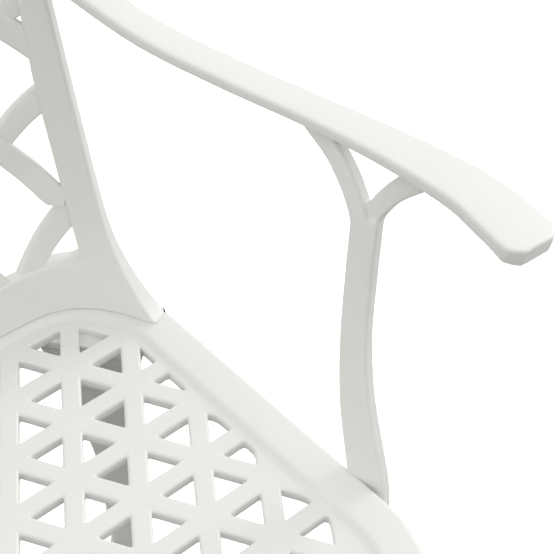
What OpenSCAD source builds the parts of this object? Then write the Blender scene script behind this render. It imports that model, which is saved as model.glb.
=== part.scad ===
/* [Seat] */
// Height of the seat's flat rim above the floor
rim_top = 424; // [420:1:430]
// How far the open lattice lies below the rim
field_drop = 4; // [1:1:6]
// Thickness of the seat casting at the lattice
seat_t = 11; // [7:1:13]
// Width of the flat rim round the lattice
rim_w = 33; // [28:1:40]
// Depth of the stiffening skirt under the rim's outer edge
skirt_drop = 10; // [8:1:16]
// Thickness of that skirt
skirt_t = 6; // [5:1:8]
// Side of one triangle of the lattice, from bar centre to bar centre
pitch = 57; // [50:1:64]
// Width of a lattice bar
bar_w = 16.2; // [12:0.2:18]
// Rear edge of the seat, from the bench's middle line
seat_rear_y = 197; // [190:1:205]
// Radius of the seat's rear corners
rear_corner_r = 105.5; // [95:0.5:115]
// Distance of the rear corners' centres from the bench's centre line
rear_corner_x = 276.5; // [260:0.5:290]
// Length of the straight side between the corners
side_len = 251; // [240:1:260]
// Angle at which the sides open towards the front
side_flare = 5.5; // [3:0.5:7]

/* [Backrest] */
// Height of the backrest's crest above the floor, at its middle
crest_top = 800; // [790:1:810]
// Height of the crest above the floor, at the side rails
crest_end = 776; // [770:1:785]
// Depth of the crest rail
crest_h = 36; // [30:1:40]
// Top of the backrest's bottom band above the floor
band_top = 470; // [462:1:480]
// Thickness of the rails, the crest and the band
rail_t = 14; // [12:1:18]
// Half distance between the side rails
rail_in = 333; // [325:1:340]
// Half distance between the side rails' outer front edges
rail_out = 353; // [348:1:358]
// Half width of the flared feet of the side rails
foot_out = 363; // [358:1:366]
// Width of one slat of the lattice
slat_w = 19; // [15:1:22]
// Thickness of one slat
slat_t = 8; // [6:1:10]
// Radius to which the slats are bent
slat_r = 700; // [650:10:750]
// Number of slats that rise to each side
slat_n = 9; // [9:1:9]
// Recline of the backrest, in millimetres back for each millimetre up
lean = 0.18; // [0.12:0.01:0.22]

/* [Armrests] */
// Width of the armrest at its middle
arm_w = 24; // [20:1:28]
// Width of the armrest at its front end
arm_end_w = 43; // [36:1:46]
// Thickness of the armrest
arm_t = 15; // [13:1:18]
// Thickness of the armrest's upright
stem_t = 12; // [10:1:14]

/* [Legs] */
// Width of a leg at the ankle
ankle_w = 34; // [30:1:40]
// Width of a leg under its flange
knee_w = 80; // [60:1:86]
// Thickness of a leg's top flange
flange_t = 8; // [6:1:10]

/* [Fasteners] */
// Thread diameter of the bolts
bolt_d = 6; // [6:1:6]
// Clearance between a bolt and its bore, in diameter
bolt_gap = 0.5; // [0.3:0.1:0.8]
// Diameter of the flat spots under the bolt heads
spot_d = 15; // [14:0.5:15]
// Diameter of a foot glide
glide_d = 26; // [22:1:28]
// Height of the part of a foot glide that shows below the leg
glide_h = 5; // [3:1:8]

/* [Hidden] */
$fn = 48;

CAST = "#e9e8e4";
STEEL = "#b9bbbd";
BLACK = "#1b1b1c";

field_top = rim_top - field_drop;
seat_under = field_top - seat_t;
row_h = pitch * sqrt(3) / 2;
lattice_y = 160;
groove_w = 6;
landing_t = 8;
landing_z = seat_under - landing_t;

// ---- Vectors and sweeps ----

function unit(v) = v / norm(v);
function mix(a, b, t) = a + (b - a) * t;
function smooth(t) = t * t * (3 - 2 * t);
function clamp01(t) = min(1, max(0, t));
function ramp(x, a, b) = smooth(clamp01((x - a) / (b - a)));

// Catmull-Rom curve through the points p, k steps between neighbours
function spline_at(p, i, t) =
    let (n = len(p) - 1)
    let (a = i > 0 ? p[i - 1] : 2 * p[0] - p[1], b = p[i], c = p[i + 1])
    let (d = i + 1 < n ? p[i + 2] : 2 * p[n] - p[n - 1])
    0.5 * (2 * b + (c - a) * t + (2 * a - 5 * b + 4 * c - d) * t * t
        + (3 * b - 3 * c + d - a) * t * t * t);
function spline(p, k) = [
    for (i = [0 : len(p) - 2], j = [0 : k - 1]) spline_at(p, i, j / k),
    p[len(p) - 1]
];
function heading(path, i) =
    unit(path[min(i + 1, len(path) - 1)] - path[max(i - 1, 0)]);

// Rounded oblong of half widths a and b: a superellipse with q points
function oblong(a, b, q) = [
    for (j = [0 : q - 1]) let (c = cos(360 * (j + 0.5) / q), s = sin(360 * (j + 0.5) / q))
        [a * sign(c) * pow(abs(c), 0.6), b * sign(s) * pow(abs(s), 0.6)]
];

// Closed skin over rings that all have q points
module skin(rings) {
    q = len(rings[0]);
    n = len(rings);
    polyhedron(
        points = [for (r = rings, p = r) p],
        faces = concat(
            [[for (j = [0 : q - 1]) j]],
            [for (i = [0 : n - 2], j = [0 : q - 1]) let (k = (j + 1) % q)
                each [[i * q + j, (i + 1) * q + k, i * q + k],
                    [i * q + j, (i + 1) * q + j, (i + 1) * q + k]]],
            [[for (j = [q - 1 : -1 : 0]) (n - 1) * q + j]]
        ),
        convexity = 6
    );
}

// Bar along a path: across(i) is its width direction, size(i) its two half sizes
module bar_along(path, side, halves, q) {
    skin([
        for (i = [0 : len(path) - 1])
            let (t = heading(path, i), u = unit(side[i] - t * (side[i] * t)), v = cross(t, u))
            [for (s = oblong(halves[i][0], halves[i][1], q)) path[i] + u * s[0] + v * s[1]]
    ]);
}

// Moves every sub-part so that the bench's box is centred from front to back
centre_y = 5.6;
module centred() {
    translate([0, centre_y, 0]) children();
}

module mirrored(left) {
    if (left) mirror([1, 0, 0]) children();
    else children();
}

// ---- Seat ----

// The seat's outline is a run of arcs that meet without a corner: rear corner, straight side,
// front corner in two radii, and a slightly bowed front edge. An inset takes it off every radius.
front_r1 = 131;
front_r2 = 51;
front_a1 = -30;
front_a2 = -87;
function polar(c, r, a) = c + r * [cos(a), sin(a)];
rear_c = [rear_corner_x, seat_rear_y - rear_corner_r];
side_out = [cos(side_flare), sin(side_flare)];
side_dir = [sin(side_flare), -cos(side_flare)];
side_a = polar(rear_c, rear_corner_r, side_flare);
side_b = side_a + side_len * side_dir;
front_c1 = polar(side_b, -front_r1, side_flare);
front_c2 = polar(polar(front_c1, front_r1, front_a1), -front_r2, front_a1);
bow_start = polar(front_c2, front_r2, front_a2);
bow_r = bow_start[0] / cos(front_a2);
bow_c = polar(bow_start, -bow_r, front_a2);
function arc(c, r, a, b, n, from = 1) = [for (i = [from : n]) polar(c, r, mix(a, b, i / n))];
function seat_half(inset) = concat(
    arc(rear_c, rear_corner_r - inset, 90, side_flare, 14, 0),
    arc(front_c1, front_r1 - inset, side_flare, front_a1, 7, 0),
    arc(front_c2, front_r2 - inset, front_a1, front_a2, 10),
    arc(bow_c, bow_r - inset, front_a2, -90, 6)
);
function seat_outline(inset) =
    let (h = seat_half(inset), n = len(h))
    concat(h, [for (i = [n - 2 : -1 : 0]) [-h[i][0], h[i][1]]]);

// Whether a point is inside a convex outline that runs clockwise
function inside(p, ring) =
    min([for (i = [0 : len(ring) - 1]) let (a = ring[i], b = ring[(i + 1) % len(ring)])
        cross(p - a, b - a)]) > 0;

field_ring = seat_outline(rim_w + groove_w);
hole_limit = seat_outline(rim_w + groove_w - 4);
// Centres of the lattice's triangles: even ones point to the rear, odd ones to the front
function triangle_centre(i, j, up) = [
    (i + 0.5 + (j % 2 == 0 ? 0 : 0.5) + 0.5) * pitch,
    lattice_y + j * row_h + (up ? 1 / 3 : -1 / 3) * row_h
];

// The lattice fans out a little towards the sides: a map of the plane that keeps lines straight,
// faded out towards the seat's middle
fan = [[1.07115, -0.031188, -10.2313], [0.032845, 0.975552, -3.3596], [7.77e-5, 2.4e-6, 1]];
function fanned(p) =
    let (q = [abs(p[0]), p[1], 1], w = fan[2] * q, s = ramp(q[0], 60, 200))
    [sign(p[0]) * mix(q[0], fan[0] * q / w, s), mix(p[1], fan[1] * q / w, s)];

module lattice_hole(c, up) {
    circumradius = (pitch - bar_w * sqrt(3)) / sqrt(3);
    turn = up ? 90 : -90;
    polygon([for (a = [0, 120, 240]) fanned(c + circumradius * [cos(a + turn), sin(a + turn)])]);
}

module lattice_holes() {
    for (j = [-8 : 0], i = [-8 : 7], up = [true, false]) {
        c = triangle_centre(i, j, up);
        if (inside(fanned(c), hole_limit)) lattice_hole(c, up);
    }
}

// Where the legs, the armrests and the backrest are fixed to the seat
leg_spot = [[344, -186, -131], [318, 134, -49]];
bolt_pitch = 46;
landing = [88, 22];
// Middle of the armrest's foot on the seat's side, and the turn of that side
lug_at = side_a + side_dir * 224 + side_out * 0.5;
lug_turn = side_flare;
lug_w = 46;
lug_t = 7.5;
lug_top = rim_top - 5;
lug_h = 34;
lug_bolt_x = 11;
lug_bolt_z = lug_top - 19;
// Thickness of the armrest's foot under its bolt heads
lug_grip = 9;

module at_leg(spot) {
    translate([spot[0], spot[1], 0]) rotate(spot[2]) children();
}

module at_lug(z) {
    translate([lug_at[0], lug_at[1], z]) rotate(lug_turn) children();
}

module lug_bores(d, from, to) {
    for (y = [-lug_bolt_x, lug_bolt_x])
        at_lug(lug_bolt_z) translate([from, y, 0]) rotate([0, 90, 0]) cylinder(d = d, h = to - from);
}

// Middle points of the bolts that hold the backrest down, on the right half
back_bolt_at = [[60, 177.6], [230, 177.6], [360, 125.5]];

module both_sides() {
    children();
    mirror([1, 0, 0]) children();
}

module seat() {
    color(CAST) centred() difference() {
        union() {
            // lattice plate
            translate([0, 0, seat_under]) linear_extrude(seat_t) difference() {
                polygon(seat_outline(1));
                intersection() {
                    lattice_holes();
                    polygon(field_ring);
                }
            }
            // raised rim and skirt
            translate([0, 0, field_top - 1]) linear_extrude(field_drop + 1) difference() {
                polygon(seat_outline(0));
                polygon(seat_outline(rim_w));
            }
            translate([0, 0, seat_under - skirt_drop]) linear_extrude(seat_t + skirt_drop) difference() {
                polygon(seat_outline(0));
                polygon(seat_outline(skirt_t));
            }
            both_sides() {
                for (spot = leg_spot) at_leg(spot)
                    translate([-landing[0] / 2, -landing[1] / 2, landing_z])
                        cube([landing[0], landing[1], landing_t + 1]);
                at_lug(lug_top - lug_h) translate([-lug_t, -lug_w / 2, 0])
                    cube([lug_t, lug_w, lug_h - seat_t]);
            }
        }
        both_sides() {
            for (spot = leg_spot, x = [-bolt_pitch / 2, bolt_pitch / 2]) at_leg(spot)
                translate([x, 0, landing_z - 1]) cylinder(d = bolt_d + bolt_gap, h = 14);
            for (p = back_bolt_at)
                translate([p[0], p[1], seat_under - 20]) cylinder(d = bolt_d + bolt_gap, h = 60);
            lug_bores(bolt_d + bolt_gap, -lug_t - 1, 1);
        }
    }
}

// ---- Backrest ----

// The front face is flat in the middle and turns forward towards the rails: with q the share of
// the way from wrap_a to wrap_b, the face comes forward by wrap times the cube of q, and by more
// close to the seat, where the rails' feet follow the seat's rounded corner.
wrap_a = 268;
wrap_b = 362;
wrap_up = 40;
wrap_foot = 68;
wrap_decay = 46;
face_y = 167.4;
function wrap_at(z) = mix(wrap_up, wrap_foot, exp(-max(z - field_top, 0) / wrap_decay));
function face(x, z) = [x, face_y + lean * (z - field_top)
    - wrap_at(z) * pow(max(abs(x) - wrap_a, 0) / (wrap_b - wrap_a), 3), z];
function face_normal(x, z) =
    let (dx = face(x + 0.5, z) - face(x - 0.5, z), dz = face(x, z + 0.5) - face(x, z - 0.5))
    unit(cross(dz, dx));
// A point at depth w behind the front face
function on_back(x, z, w) = face(x, z) + w * face_normal(x, z);

// Section of a member: p and q are its two edges on the face, w its depth range
function member_ring(p, q, w) = [
    on_back(p[0], p[1], w[0]), on_back(q[0], q[1], w[0]),
    on_back(q[0], q[1], w[1]), on_back(p[0], p[1], w[1])
];

// Stations along x that are closer together where the face turns
function stations(x, n) = [for (i = [-n : n]) sign(i) * x * (1 - pow(1 - abs(i) / n, 1.5))];

function crest_line(x) = crest_top - (crest_top - crest_end) * pow(abs(x) / rail_out, 2);
crest_corner = 26;
function crest_low(x) = crest_line(x) - crest_h;
function crest_high(x) = crest_line(x) - crest_corner
    + crest_corner * sqrt(1 - pow(ramp(abs(x), rail_in - 12, rail_out + 4), 2));

module crest() {
    skin([for (x = stations(rail_out, 16))
        member_ring([x, crest_high(x)], [x, crest_low(x)], [0, rail_t])]);
}

module bottom_band() {
    skin([for (x = stations(rail_in + 6, 14))
        member_ring([x, band_top], [x, rim_top - 6], [0, rail_t])]);
}

// Outer edge of a side rail: straight above, flared towards the foot
function rail_edge(z) = rail_out + (foot_out - rail_out) * pow(1 - clamp01((z - rim_top) / 95), 2);

// The rail also grows deeper towards its foot
function rail_depth(z) = rail_t + 5 * pow(1 - clamp01((z - rim_top) / 80), 2);

module side_rail() {
    top = crest_low(rail_in) + crest_h / 2;
    skin([for (i = [0 : 20]) let (z = mix(rim_top - 6, top, i / 20))
        member_ring([rail_in, z], [rail_edge(z), z], [0, rail_depth(z)])]);
}

// Slat i of a family is an arc of radius slat_r about a centre that steps sideways and down
slat_c0 = [215, field_top - 180];
slat_step = [81.9, -21.4];
function slat_x(c, z) = c[0] - sqrt(slat_r * slat_r - pow(z - c[1], 2));
function slat_z(c, x) = c[1] + sqrt(slat_r * slat_r - pow(x - c[0], 2));
function slat_turn(c, x) = acos((x - c[0]) / slat_r);

module slat(i, w) {
    c = slat_c0 + i * slat_step;
    x_low = max(-rail_in - 6, slat_x(c, band_top - 6));
    x_high = min(rail_in + 6, slat_x(c, crest_low(slat_x(c, 750)) + 8));
    n = 6;
    skin([for (k = [0 : n]) let (a = mix(slat_turn(c, x_low), slat_turn(c, x_high), k / n))
        member_ring(polar(c, slat_r + slat_w / 2, a), polar(c, slat_r - slat_w / 2, a), w)]);
}

pad_z = 734;
pad_h = 40;
rail_end = on_back(rail_edge(pad_z), pad_z, rail_t / 2);
rail_turn = atan2(rail_end[1] - on_back(rail_in, pad_z, rail_t / 2)[1], rail_end[0] - rail_in);
pad_cut = 1.5;
// Thickness of the rail between the armrest and the head of its bolt
pad_grip = 31;

module at_pad() {
    translate(rail_end) rotate(rail_turn) translate([-pad_cut, 0, 0]) children();
}

module backrest() {
    color(CAST) centred() difference() {
        resize([0, 0, 0]) difference() {
            union() {
                crest();
                bottom_band();
                both_sides() side_rail();
                for (i = [0 : slat_n - 1]) {
                    slat(i, [5, 5 + slat_t]);
                    mirror([1, 0, 0]) slat(i, [2, 2 + slat_t]);
                }
            }
            translate([-500, 0, rim_top - 40]) cube([1000, 400, 40]);
        }
        both_sides() {
            at_pad() translate([0, -20, -pad_h / 2]) cube([20, 40, pad_h]);
            at_pad() translate([-60, 0, 0]) rotate([0, 90, 0])
                cylinder(d = bolt_d + bolt_gap, h = 80);
            at_pad() translate([-60, 0, 0]) rotate([0, 90, 0])
                cylinder(d = spot_d, h = 60 - pad_grip);
            for (p = back_bolt_at)
                translate([p[0], p[1], rim_top - 1]) cylinder(d = bolt_d + bolt_gap, h = 24);
        }
    }
}

// ---- Armrests ----

// Middle line of the armrest, from the backrest to the front end
arm_route = [[361, 192, 728], [396, 129, 701], [426, 66, 687], [456, 0, 679], [478, -60, 675],
    [491, -117, 674], [494, -154, 670], [494, -176, 658]];
// Middle line of the upright, from the seat's side to the fork
stem_route = [[408, -122, 382], [408, -121, 422], [418, -97, 482], [430, -79, 530],
    [443, -67, 576], [455, -57, 620], [460, -53, 640]];
rear_prong = [[450, -62, 605], [454, -48, 632], [456, -24, 656], [455, 8, 672]];
front_prong = [[451, -60, 605], [460, -60, 626], [471, -71, 648], [482, -88, 668]];
plane_normal = unit([-0.885, -0.328, 0.33]);

function arm_half(t) = [mix(arm_w, arm_end_w, ramp(t, 0.35, 0.9)) / 2, arm_t / 2];

module arm_bar() {
    path = spline(arm_route, 4);
    n = len(path) - 1;
    bar_along(path,
        [for (i = [0 : n]) cross(heading(path, i), [0.12, 0.04, 1])],
        [for (i = [0 : n]) let (t = i / n, e = sqrt(1 - pow(clamp01((t - 0.93) / 0.075), 2)))
            [arm_half(t)[0] * max(e, 0.45), arm_half(t)[1] * max(e, 0.45)]], 16);
}

module upright() {
    path = spline(stem_route, 3);
    n = len(path) - 1;
    bar_along(path,
        [for (i = [0 : n]) cross(plane_normal, heading(path, i))],
        [for (i = [0 : n]) let (t = i / n)
            [mix(34, 22, ramp(t, 0.02, 0.55)) / 2, stem_t / 2]], 12);
}

module prong(route) {
    path = spline(route, 3);
    n = len(path) - 1;
    bar_along(path, [for (i = [0 : n]) cross(plane_normal, heading(path, i))],
        [for (i = [0 : n]) [mix(8, 7, i / n), stem_t / 2]], 12);
}

module arm(left) {
    color(CAST) centred() mirrored(left) difference() {
        resize([0, 0, 0]) {
            arm_bar();
            upright();
            prong(rear_prong);
            prong(front_prong);
            translate(rail_end) rotate([0, 0, rail_turn]) translate([6, 0, 0])
                cube([16, 26, 30], center = true);
            at_lug(lug_top - lug_h) translate([0, -lug_w / 2 + 1, 0]) cube([9, lug_w - 2, lug_h - 3]);
        }
        at_pad() translate([-40, -40, -60]) cube([40, 80, 120]);
        at_pad() translate([-1, 0, 0]) rotate([0, 90, 0]) cylinder(d = bolt_d + bolt_gap, h = 26);
        at_lug(lug_top - 80) translate([-40, -60, 0]) cube([40, 120, 90]);
        lug_bores(bolt_d + bolt_gap, -1, 30);
        lug_bores(spot_d, lug_grip, 40);
    }
}

module arm_left() { arm(true); }
module arm_right() { arm(false); }

// ---- Legs ----

// Middle line of a leg in its own frame: x along the flange, y outwards from the seat
front_leg_route = [[0, 0, landing_z - 3], [0, 5, 345], [0, 12, 280], [0, 18, 195],
    [0, 25, 112], [0, 33, 50], [0, 40, 10], [0, 43, -12]];
rear_leg_route = [[0, 0, landing_z - 3], [-2.6, 6.2, 345], [-7.1, 20.8, 280], [-9, 30.7, 195],
    [-12.6, 38.9, 112], [-16.6, 50.3, 50], [-19.7, 59.8, 10], [-21.4, 63.5, -12]];
front_foot = [0, 40];
rear_foot = [-19.7, 59.8];
function leg_half(z) = [
    mix(ankle_w, knee_w, ramp(z, 180, landing_z)) / 2 + 4 * ramp(-z, -45, 0),
    mix(20, 15, ramp(z, 150, landing_z)) / 2 + 3 * ramp(-z, -45, 0)
];

module leg(spot, route, foot, left) {
    path = spline(route, 3);
    n = len(path) - 1;
    color(CAST) centred() mirrored(left) at_leg(spot) difference() {
        union() {
            bar_along(path, [for (i = [0 : n]) [1, 0, 0]],
                [for (i = [0 : n]) leg_half(path[i][2])], 16);
            translate([-landing[0] / 2, -landing[1] / 2, landing_z - flange_t])
                cube([landing[0], landing[1], flange_t]);
        }
        translate([-60, -40, glide_h - 60]) cube([120, 140, 60]);
        translate([foot[0], foot[1], glide_h - 1]) cylinder(d = 8, h = 15);
        for (x = [-bolt_pitch / 2, bolt_pitch / 2]) {
            translate([x, 0, landing_z - flange_t - 1]) cylinder(d = bolt_d + bolt_gap, h = flange_t + 2);
            translate([x, 0, landing_z - flange_t - 60]) cylinder(d = spot_d, h = 60);
        }
    }
}

module leg_front_left() { leg(leg_spot[0], front_leg_route, front_foot, true); }
module leg_front_right() { leg(leg_spot[0], front_leg_route, front_foot, false); }
module leg_rear_left() { leg(leg_spot[1], rear_leg_route, rear_foot, true); }
module leg_rear_right() { leg(leg_spot[1], rear_leg_route, rear_foot, false); }

module glide(spot, foot, left) {
    color(BLACK) centred() mirrored(left) at_leg(spot) translate([foot[0], foot[1], 0]) {
        cylinder(d = glide_d, h = glide_h);
        translate([0, 0, glide_h - 0.5]) cylinder(d = 7.6, h = 12);
    }
}

module glide_front_left() { glide(leg_spot[0], front_foot, true); }
module glide_front_right() { glide(leg_spot[0], front_foot, false); }
module glide_rear_left() { glide(leg_spot[1], rear_foot, true); }
module glide_rear_right() { glide(leg_spot[1], rear_foot, false); }

// ---- Fasteners ----

// Hexagon bolt that points along +z, its head below z = 0
module hex_bolt(d, len) {
    translate([0, 0, -0.65 * d]) cylinder(d = 1.9 * d, h = 0.65 * d, $fn = 6);
    translate([0, 0, -0.1]) cylinder(d = d, h = len + 0.1);
}

module washer(d) {
    difference() {
        cylinder(d = 2.1 * d, h = 1.5);
        translate([0, 0, -1]) cylinder(d = d + bolt_gap, h = 4);
    }
}

module leg_fastener_spots() {
    both_sides() for (spot = leg_spot, x = [-bolt_pitch / 2, bolt_pitch / 2])
        at_leg(spot) translate([x, 0, landing_z - flange_t]) children();
}

module leg_bolts() {
    color(STEEL) centred() leg_fastener_spots() translate([0, 0, -1.5]) hex_bolt(bolt_d, 20);
}

module leg_washers() {
    color(STEEL) centred() leg_fastener_spots() translate([0, 0, -1.5]) washer(bolt_d);
}

module back_fastener_spots() {
    both_sides() for (p = back_bolt_at) translate([p[0], p[1], seat_under]) children();
}

module back_bolts() {
    color(STEEL) centred() back_fastener_spots() translate([0, 0, -1.5]) hex_bolt(bolt_d, 27);
}

module back_washers() {
    color(STEEL) centred() back_fastener_spots() translate([0, 0, -1.5]) washer(bolt_d);
}

module back_bolt_caps() {
    color(BLACK) centred() back_fastener_spots() difference() {
        translate([0, 0, -10]) cylinder(d = 17, h = 10);
        translate([0, 0, -7]) cylinder(d = 14, h = 10);
    }
}

// Places on the seat's sides where the armrests are bolted, x pointing outwards
module lug_fastener_spots(x) {
    both_sides() for (y = [-lug_bolt_x, lug_bolt_x])
        at_lug(lug_bolt_z) translate([x, y, 0]) children();
}

module arm_seat_bolts() {
    color(STEEL) centred() lug_fastener_spots(lug_grip + 1.5) rotate([0, -90, 0]) hex_bolt(bolt_d, 24);
}

module arm_seat_washers() {
    color(STEEL) centred() lug_fastener_spots(lug_grip + 1.5) rotate([0, -90, 0]) washer(bolt_d);
}

module arm_seat_nuts() {
    color(STEEL) centred() lug_fastener_spots(-lug_t) rotate([0, -90, 0]) difference() {
        cylinder(d = 11.4, h = 5, $fn = 6);
        translate([0, 0, -1]) cylinder(d = bolt_d, h = 8);
    }
}

module arm_back_bolts() {
    color(STEEL) centred() both_sides() at_pad() translate([-pad_grip - 1.5, 0, 0]) rotate([0, 90, 0])
        hex_bolt(bolt_d, 50);
}

module arm_back_washers() {
    color(STEEL) centred() both_sides() at_pad() translate([-pad_grip - 1.5, 0, 0]) rotate([0, 90, 0])
        washer(bolt_d);
}

seat();
backrest();
arm_left();
arm_right();
leg_front_left();
leg_front_right();
leg_rear_left();
leg_rear_right();
glide_front_left();
glide_front_right();
glide_rear_left();
glide_rear_right();
leg_bolts();
leg_washers();
back_bolts();
back_washers();
back_bolt_caps();
arm_seat_bolts();
arm_seat_washers();
arm_seat_nuts();
arm_back_bolts();
arm_back_washers();
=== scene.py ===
"""Garden bench in powder coated cast aluminium: visible pieces, finishes, light and camera."""

import logging
from dataclasses import dataclass, field
from enum import Enum
from typing import Any, Callable, Sequence

import bmesh
import bpy
import numpy as np
from mathutils import Matrix, Vector


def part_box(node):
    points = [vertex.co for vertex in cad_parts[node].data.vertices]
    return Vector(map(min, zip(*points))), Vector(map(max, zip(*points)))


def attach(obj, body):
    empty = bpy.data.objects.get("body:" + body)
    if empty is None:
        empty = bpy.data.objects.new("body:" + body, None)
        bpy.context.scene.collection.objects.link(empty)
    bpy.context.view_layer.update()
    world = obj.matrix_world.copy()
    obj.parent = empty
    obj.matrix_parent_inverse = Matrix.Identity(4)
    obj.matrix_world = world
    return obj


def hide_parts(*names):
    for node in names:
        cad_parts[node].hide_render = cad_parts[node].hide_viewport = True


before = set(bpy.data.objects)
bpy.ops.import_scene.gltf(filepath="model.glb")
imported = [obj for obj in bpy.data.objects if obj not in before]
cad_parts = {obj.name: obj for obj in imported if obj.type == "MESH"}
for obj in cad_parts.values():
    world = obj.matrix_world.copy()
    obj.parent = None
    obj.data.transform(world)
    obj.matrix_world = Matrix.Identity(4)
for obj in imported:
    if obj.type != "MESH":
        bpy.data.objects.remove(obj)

LOG = logging.getLogger("bench")
MM = 0.001
Array = np.ndarray


# ---- Small numeric helpers -------------------------------------------------------------------


def unit(v: Array) -> Array:
    """Vectors along the last axis divided by their lengths."""
    return v / np.maximum(np.linalg.norm(v, axis=-1, keepdims=True), 1e-12)


def ramp(x: Array, a: float, b: float) -> Array:
    """Smooth step from 0 at a to 1 at b: 3t^2 - 2t^3 of the clamped share t."""
    t = np.clip((np.asarray(x, float) - a) / (b - a), 0.0, 1.0)
    return t * t * (3.0 - 2.0 * t)


def mix(a: Any, b: Any, t: Any) -> Any:
    """Value the share t of the way from a to b."""
    return a + (b - a) * t


def spline(points: Sequence[Sequence[float]], steps: int) -> Array:
    """Catmull-Rom curve through the points.

    Args:
        points: Points of the curve, each of two or three numbers.
        steps: Samples between two neighbouring points.

    Returns:
        The samples, one row each, the last point included.
    """
    p = np.asarray(points, float)
    q = np.vstack([2 * p[0] - p[1], p, 2 * p[-1] - p[-2]])
    t = (np.arange(steps) / steps)[None, :, None]
    a, b, c, d = q[:-3, None], q[1:-2, None], q[2:-1, None], q[3:, None]
    body = 0.5 * (
        2 * b + (c - a) * t + (2 * a - 5 * b + 4 * c - d) * t**2 + (3 * b - 3 * c + d - a) * t**3
    )
    return np.vstack([body.reshape(-1, p.shape[1]), p[-1]])


def turned(v: Array, degrees: float) -> Array:
    """Points turned about the vertical axis by an angle."""
    a = np.radians(degrees)
    x, y = v[..., 0], v[..., 1]
    return np.stack([x * np.cos(a) - y * np.sin(a), x * np.sin(a) + y * np.cos(a), v[..., 2]], -1)


# ---- Shells ----------------------------------------------------------------------------------


@dataclass
class Shell:
    """Vertices in millimetres with four-sided and three-sided faces."""

    verts: Array
    quads: Array = field(default_factory=lambda: np.zeros((0, 4), int))
    tris: Array = field(default_factory=lambda: np.zeros((0, 3), int))

    def moved(self, offset: Sequence[float]) -> "Shell":
        """The same shell at another place."""
        return Shell(self.verts + np.asarray(offset, float), self.quads, self.tris)

    def spun(self, degrees: float) -> "Shell":
        """The same shell turned about the vertical axis."""
        return Shell(turned(self.verts, degrees), self.quads, self.tris)

    def mirrored(self) -> "Shell":
        """The shell's mirror image across x = 0, its faces still pointing outwards."""
        return Shell(self.verts * [-1.0, 1.0, 1.0], self.quads[:, ::-1], self.tris[:, ::-1])


def joined(shells: Sequence[Shell]) -> Shell:
    """One shell that holds all the given ones, with their face numbers moved up.

    Args:
        shells: The shells to put together.

    Returns:
        The joined shell.
    """
    starts = np.cumsum([0] + [len(s.verts) for s in shells[:-1]])
    return Shell(
        np.vstack([s.verts for s in shells]),
        np.vstack([s.quads + k for s, k in zip(shells, starts)]),
        np.vstack([s.tris + k for s, k in zip(shells, starts)]),
    )


def loft(rings: Array, looped: bool = False) -> Shell:
    """Skin over rings of equal size, closed by a fan at each end unless it is looped.

    The vertex (i, j) of the grid is joined to (i, j + 1), (i + 1, j + 1) and (i + 1, j), with j
    taken round the ring.

    Args:
        rings: Points as rings by points by three, running anticlockwise about the way ahead.
        looped: Whether the last ring joins the first one.

    Returns:
        The closed shell.
    """
    n, q = rings.shape[:2]
    i = np.arange(n if looped else n - 1)[:, None]
    j = np.arange(q)[None, :]
    k, m = (j + 1) % q, (i + 1) % n
    quads = np.stack([i * q + j, i * q + k, m * q + k, m * q + j], -1).reshape(-1, 4)
    verts = rings.reshape(-1, 3)
    if looped:
        return Shell(verts, quads)
    ends = np.array([rings[0].mean(0), rings[-1].mean(0)])
    first, last = n * q, n * q + 1
    j = j[0]
    k = (j + 1) % q
    fan = np.vstack([
        np.stack([np.full(q, first), k, j], -1),
        np.stack([np.full(q, last), (n - 1) * q + j, (n - 1) * q + k], -1),
    ])
    return Shell(np.vstack([verts, ends]), quads, fan)


def soft_section(a: Array, b: Array, r: Array, steps: int = 5, crown: float = 0.0) -> Array:
    """Rounded rectangles: a quarter circle of radius r at each corner of a box of half sides a, b.

    Args:
        a: Half widths, one for each ring.
        b: Half thicknesses.
        r: Corner radii.
        steps: Segments in each quarter circle.
        crown: How far the middle of the two wide faces stands proud of their edges.

    Returns:
        Points as rings by points by two, anticlockwise.
    """
    a, b, r = (np.asarray(v, float)[:, None] for v in np.broadcast_arrays(a, b, r))
    r = np.minimum(r, 0.98 * np.minimum(a, b))
    turn = np.radians(np.linspace(0.0, 90.0, steps + 1))[None, :]
    parts = []
    for k, (sx, sy) in enumerate(((1, 1), (-1, 1), (-1, -1), (1, -1))):
        t = turn + np.pi / 2 * k
        parts.append(np.stack([sx * (a - r) + r * np.cos(t), sy * (b - r) + r * np.sin(t)], -1))
        if k % 2 == 0:
            flat = np.linspace(1.0, -1.0, 5)[None, 1:-1]
            parts.append(np.stack([sx * (a - r) * flat, sy * b * np.ones_like(flat)], -1))
    ring = np.concatenate(parts, 1)
    bulge = crown * (1.0 - (ring[..., 0] / a) ** 2)
    ring[..., 1] += np.sign(ring[..., 1]) * bulge
    return ring


def rounded_ends(path: Array, a: Array, b: Array, r: float, steps: int = 3) -> tuple[Array, Array, Array]:
    """Adds rings to both ends of a path that draw its section in along a quarter circle.

    Args:
        path: Points of the path.
        a: Half widths at the points.
        b: Half thicknesses.
        r: Radius of the rounding at the ends.
        steps: Extra rings at each end.

    Returns:
        The longer path, half widths and half thicknesses.
    """
    t = np.radians(np.linspace(90.0, 0.0, steps + 1)[:-1])[:, None]
    out, less = r * np.sin(t), r * (1.0 - np.cos(t))[:, 0]
    head, tail = unit(path[0] - path[1]), unit(path[-1] - path[-2])
    first, last = path[0] - head * r, path[-1] - tail * r
    keep_a, keep_b = np.maximum(a, r + 0.1), np.maximum(b, r + 0.1)
    inner = path.copy()
    inner[0], inner[-1] = first, last
    path2 = np.vstack([first + head * out, inner, (last + tail * out)[::-1]])
    a2 = np.concatenate([keep_a[0] - less, keep_a, (keep_a[-1] - less)[::-1]])
    b2 = np.concatenate([keep_b[0] - less, keep_b, (keep_b[-1] - less)[::-1]])
    return path2, a2, b2


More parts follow.
